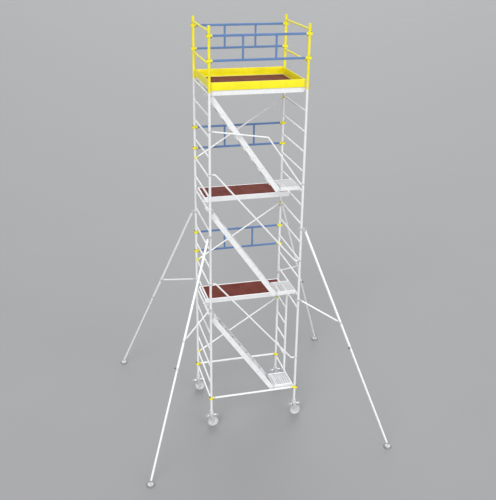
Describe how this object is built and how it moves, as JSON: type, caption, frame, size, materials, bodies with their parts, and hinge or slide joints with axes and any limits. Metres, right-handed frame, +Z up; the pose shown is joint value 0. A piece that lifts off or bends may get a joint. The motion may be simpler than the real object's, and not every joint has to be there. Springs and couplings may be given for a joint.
{
  "type": "mobile tower scaffold",
  "caption": "Tall rolling access tower with ladder-frame ends, stair flights, plywood decks, a railed and toe-boarded work platform, telescopic outriggers and braked castors.",
  "frame": {"origin": "on the ground under the middle of the tower", "axes": "+Z up; X along the bay with the left end frame at -X; Y across it with the stair side at -Y"},
  "size_m": [5.19, 4.83, 8.4932],
  "materials": {
    "frame_tube": "bright, lightly brushed",
    "deck_alu": "extruded, satin",
    "stair_alu": "folded and perforated, satin",
    "guard_yellow": "powder coated, semi-gloss",
    "rail_blue": "powder coated, semi-gloss",
    "plywood": "resin-filmed plywood, red-brown",
    "toe_yellow": "painted, semi-gloss",
    "claw_yellow": "cast, painted",
    "trigger_grey": "moulded",
    "zinc_steel": "zinc plated",
    "castor_tyre": "grey polyurethane",
    "brake_pedal": "painted, worn",
    "foot_rubber": "grey rubber, matt"
  },
  "bodies": {
    "tower": {"base_frame_left": "frame_tube", "base_frame_right": "frame_tube", "mid_frame_left": "frame_tube", "mid_frame_right": "frame_tube", "top_frame_left": "frame_tube", "top_frame_right": "frame_tube", "guard_frame_left": "guard_yellow", "guard_frame_right": "guard_yellow", "base_ledgers": "frame_tube", "brace_low": "frame_tube", "brace_mid": "frame_tube", "brace_top": "frame_tube", "guardrail_low_back": "rail_blue", "guardrail_mid_back": "rail_blue", "guardrail_top_back": "rail_blue", "guardrail_top_front": "rail_blue", "deck_frame_low": "deck_alu", "deck_frame_mid": "deck_alu", "deck_frame_top": "deck_alu", "deck_board_low": "plywood", "deck_board_mid": "plywood", "deck_board_top": "plywood", "stair_low": "stair_alu", "stair_mid": "stair_alu", "stair_top": "stair_alu", "stair_handrails": "frame_tube", "top_handrail": "frame_tube", "toe_boards": "toe_yellow", "claws": "claw_yellow"},
    "hatch": {"hatch": "plywood"},
    "triggers_left": {"claw_triggers_left": "trigger_grey"},
    "triggers_right": {"claw_triggers_right": "trigger_grey"},
    "castor_leg_lf": {"castor_leg_lf": "zinc_steel"},
    "castor_fork_lf": {"castor_fork_lf": "zinc_steel"},
    "castor_wheel_lf": {"castor_wheel_lf": "castor_tyre"},
    "castor_brake_lf": {"castor_brake_lf": "brake_pedal"},
    "outrigger_lf": {"outrigger_lf": "frame_tube"},
    "outrigger_inner_lf": {"outrigger_inner_lf": "frame_tube"},
    "outrigger_foot_lf": {"outrigger_foot_lf": "foot_rubber"},
    "castor_leg_rf": {"castor_leg_rf": "zinc_steel"},
    "castor_fork_rf": {"castor_fork_rf": "zinc_steel"},
    "castor_wheel_rf": {"castor_wheel_rf": "castor_tyre"},
    "castor_brake_rf": {"castor_brake_rf": "brake_pedal"},
    "outrigger_rf": {"outrigger_rf": "frame_tube"},
    "outrigger_inner_rf": {"outrigger_inner_rf": "frame_tube"},
    "outrigger_foot_rf": {"outrigger_foot_rf": "foot_rubber"},
    "castor_leg_lb": {"castor_leg_lb": "zinc_steel"},
    "castor_fork_lb": {"castor_fork_lb": "zinc_steel"},
    "castor_wheel_lb": {"castor_wheel_lb": "castor_tyre"},
    "castor_brake_lb": {"castor_brake_lb": "brake_pedal"},
    "outrigger_lb": {"outrigger_lb": "frame_tube"},
    "outrigger_inner_lb": {"outrigger_inner_lb": "frame_tube"},
    "outrigger_foot_lb": {"outrigger_foot_lb": "foot_rubber"},
    "castor_leg_rb": {"castor_leg_rb": "zinc_steel"},
    "castor_fork_rb": {"castor_fork_rb": "zinc_steel"},
    "castor_wheel_rb": {"castor_wheel_rb": "castor_tyre"},
    "castor_brake_rb": {"castor_brake_rb": "brake_pedal"},
    "outrigger_rb": {"outrigger_rb": "frame_tube"},
    "outrigger_inner_rb": {"outrigger_inner_rb": "frame_tube"},
    "outrigger_foot_rb": {"outrigger_foot_rb": "foot_rubber"}
  },
  "joints": [
    {"name": "hatch_hinge", "type": "hinge", "parent": "tower", "child": "hatch", "pos_m": [-0.277, -0.632, 7.335], "axis": [1, 0, 0], "range_deg": [0, 90]},
    {"name": "claw_trigger_left", "type": "slide", "parent": "tower", "child": "triggers_left", "axis": [1, 0, 0], "range_m": [0, 0.008], "stiffness_N_per_m": 800, "springref_m": -0.004},
    {"name": "claw_trigger_right", "type": "slide", "parent": "tower", "child": "triggers_right", "axis": [-1, 0, 0], "range_m": [0, 0.008], "stiffness_N_per_m": 800, "springref_m": -0.004},
    {"name": "leg_adjust_lf", "type": "slide", "parent": "tower", "child": "castor_leg_lf", "axis": [0, 0, -1], "range_m": [0, 0.16]},
    {"name": "castor_swivel_lf", "type": "hinge", "parent": "castor_leg_lf", "child": "castor_fork_lf", "pos_m": [-0.94, -0.725, 0.32], "axis": [0, 0, 1], "continuous": true},
    {"name": "castor_roll_lf", "type": "hinge", "parent": "castor_fork_lf", "child": "castor_wheel_lf", "pos_m": [-0.91, -0.725, 0.125], "axis": [0, 1, 0], "continuous": true},
    {"name": "castor_brake_lf", "type": "hinge", "parent": "castor_fork_lf", "child": "castor_brake_lf", "pos_m": [-0.92, -0.725, 0.286], "axis": [0, 1, 0], "range_deg": [0, 20]},
    {"name": "outrigger_swing_lf", "type": "hinge", "parent": "tower", "child": "outrigger_lf", "pos_m": [-0.94, -0.725, 4.48], "axis": [0, 0, 1], "range_deg": [-35, 35]},
    {"name": "outrigger_extend_lf", "type": "slide", "parent": "outrigger_lf", "child": "outrigger_inner_lf", "axis": [-0.3085, -0.3153, -0.8974], "range_m": [0, 0.3]},
    {"name": "outrigger_foot_tilt_lf", "type": "hinge", "parent": "outrigger_inner_lf", "child": "outrigger_foot_lf", "pos_m": [-2.51, -2.33, 0.06], "axis": [0.7149, -0.6993, 0], "range_deg": [-20, 20]},
    {"name": "leg_adjust_rf", "type": "slide", "parent": "tower", "child": "castor_leg_rf", "axis": [0, 0, -1], "range_m": [0, 0.16]},
    {"name": "castor_swivel_rf", "type": "hinge", "parent": "castor_leg_rf", "child": "castor_fork_rf", "pos_m": [0.94, -0.725, 0.32], "axis": [0, 0, 1], "continuous": true},
    {"name": "castor_roll_rf", "type": "hinge", "parent": "castor_fork_rf", "child": "castor_wheel_rf", "pos_m": [0.97, -0.725, 0.125], "axis": [0, 1, 0], "continuous": true},
    {"name": "castor_brake_rf", "type": "hinge", "parent": "castor_fork_rf", "child": "castor_brake_rf", "pos_m": [0.96, -0.725, 0.286], "axis": [0, 1, 0], "range_deg": [0, 20]},
    {"name": "outrigger_swing_rf", "type": "hinge", "parent": "tower", "child": "outrigger_rf", "pos_m": [0.94, -0.725, 4.48], "axis": [0, 0, 1], "range_deg": [-35, 35]},
    {"name": "outrigger_extend_rf", "type": "slide", "parent": "outrigger_rf", "child": "outrigger_inner_rf", "axis": [0.3085, -0.3153, -0.8974], "range_m": [0, 0.3]},
    {"name": "outrigger_foot_tilt_rf", "type": "hinge", "parent": "outrigger_inner_rf", "child": "outrigger_foot_rf", "pos_m": [2.51, -2.33, 0.06], "axis": [0.7149, 0.6993, 0], "range_deg": [-20, 20]},
    {"name": "leg_adjust_lb", "type": "slide", "parent": "tower", "child": "castor_leg_lb", "axis": [0, 0, -1], "range_m": [0, 0.16]},
    {"name": "castor_swivel_lb", "type": "hinge", "parent": "castor_leg_lb", "child": "castor_fork_lb", "pos_m": [-0.94, 0.725, 0.32], "axis": [0, 0, 1], "continuous": true},
    {"name": "castor_roll_lb", "type": "hinge", "parent": "castor_fork_lb", "child": "castor_wheel_lb", "pos_m": [-0.91, 0.725, 0.125], "axis": [0, 1, 0], "continuous": true},
    {"name": "castor_brake_lb", "type": "hinge", "parent": "castor_fork_lb", "child": "castor_brake_lb", "pos_m": [-0.92, 0.725, 0.286], "axis": [0, 1, 0], "range_deg": [0, 20]},
    {"name": "outrigger_swing_lb", "type": "hinge", "parent": "tower", "child": "outrigger_lb", "pos_m": [-0.94, 0.725, 4.48], "axis": [0, 0, 1], "range_deg": [-35, 35]},
    {"name": "outrigger_extend_lb", "type": "slide", "parent": "outrigger_lb", "child": "outrigger_inner_lb", "axis": [-0.3085, 0.3153, -0.8974], "range_m": [0, 0.3]},
    {"name": "outrigger_foot_tilt_lb", "type": "hinge", "parent": "outrigger_inner_lb", "child": "outrigger_foot_lb", "pos_m": [-2.51, 2.33, 0.06], "axis": [-0.7149, -0.6993, 0], "range_deg": [-20, 20]},
    {"name": "leg_adjust_rb", "type": "slide", "parent": "tower", "child": "castor_leg_rb", "axis": [0, 0, -1], "range_m": [0, 0.16]},
    {"name": "castor_swivel_rb", "type": "hinge", "parent": "castor_leg_rb", "child": "castor_fork_rb", "pos_m": [0.94, 0.725, 0.32], "axis": [0, 0, 1], "continuous": true},
    {"name": "castor_roll_rb", "type": "hinge", "parent": "castor_fork_rb", "child": "castor_wheel_rb", "pos_m": [0.97, 0.725, 0.125], "axis": [0, 1, 0], "continuous": true},
    {"name": "castor_brake_rb", "type": "hinge", "parent": "castor_fork_rb", "child": "castor_brake_rb", "pos_m": [0.96, 0.725, 0.286], "axis": [0, 1, 0], "range_deg": [0, 20]},
    {"name": "outrigger_swing_rb", "type": "hinge", "parent": "tower", "child": "outrigger_rb", "pos_m": [0.94, 0.725, 4.48], "axis": [0, 0, 1], "range_deg": [-35, 35]},
    {"name": "outrigger_extend_rb", "type": "slide", "parent": "outrigger_rb", "child": "outrigger_inner_rb", "axis": [0.3085, 0.3153, -0.8974], "range_m": [0, 0.3]},
    {"name": "outrigger_foot_tilt_rb", "type": "hinge", "parent": "outrigger_inner_rb", "child": "outrigger_foot_rb", "pos_m": [2.51, 2.33, 0.06], "axis": [-0.7149, 0.6993, 0], "range_deg": [-20, 20]}
  ]
}
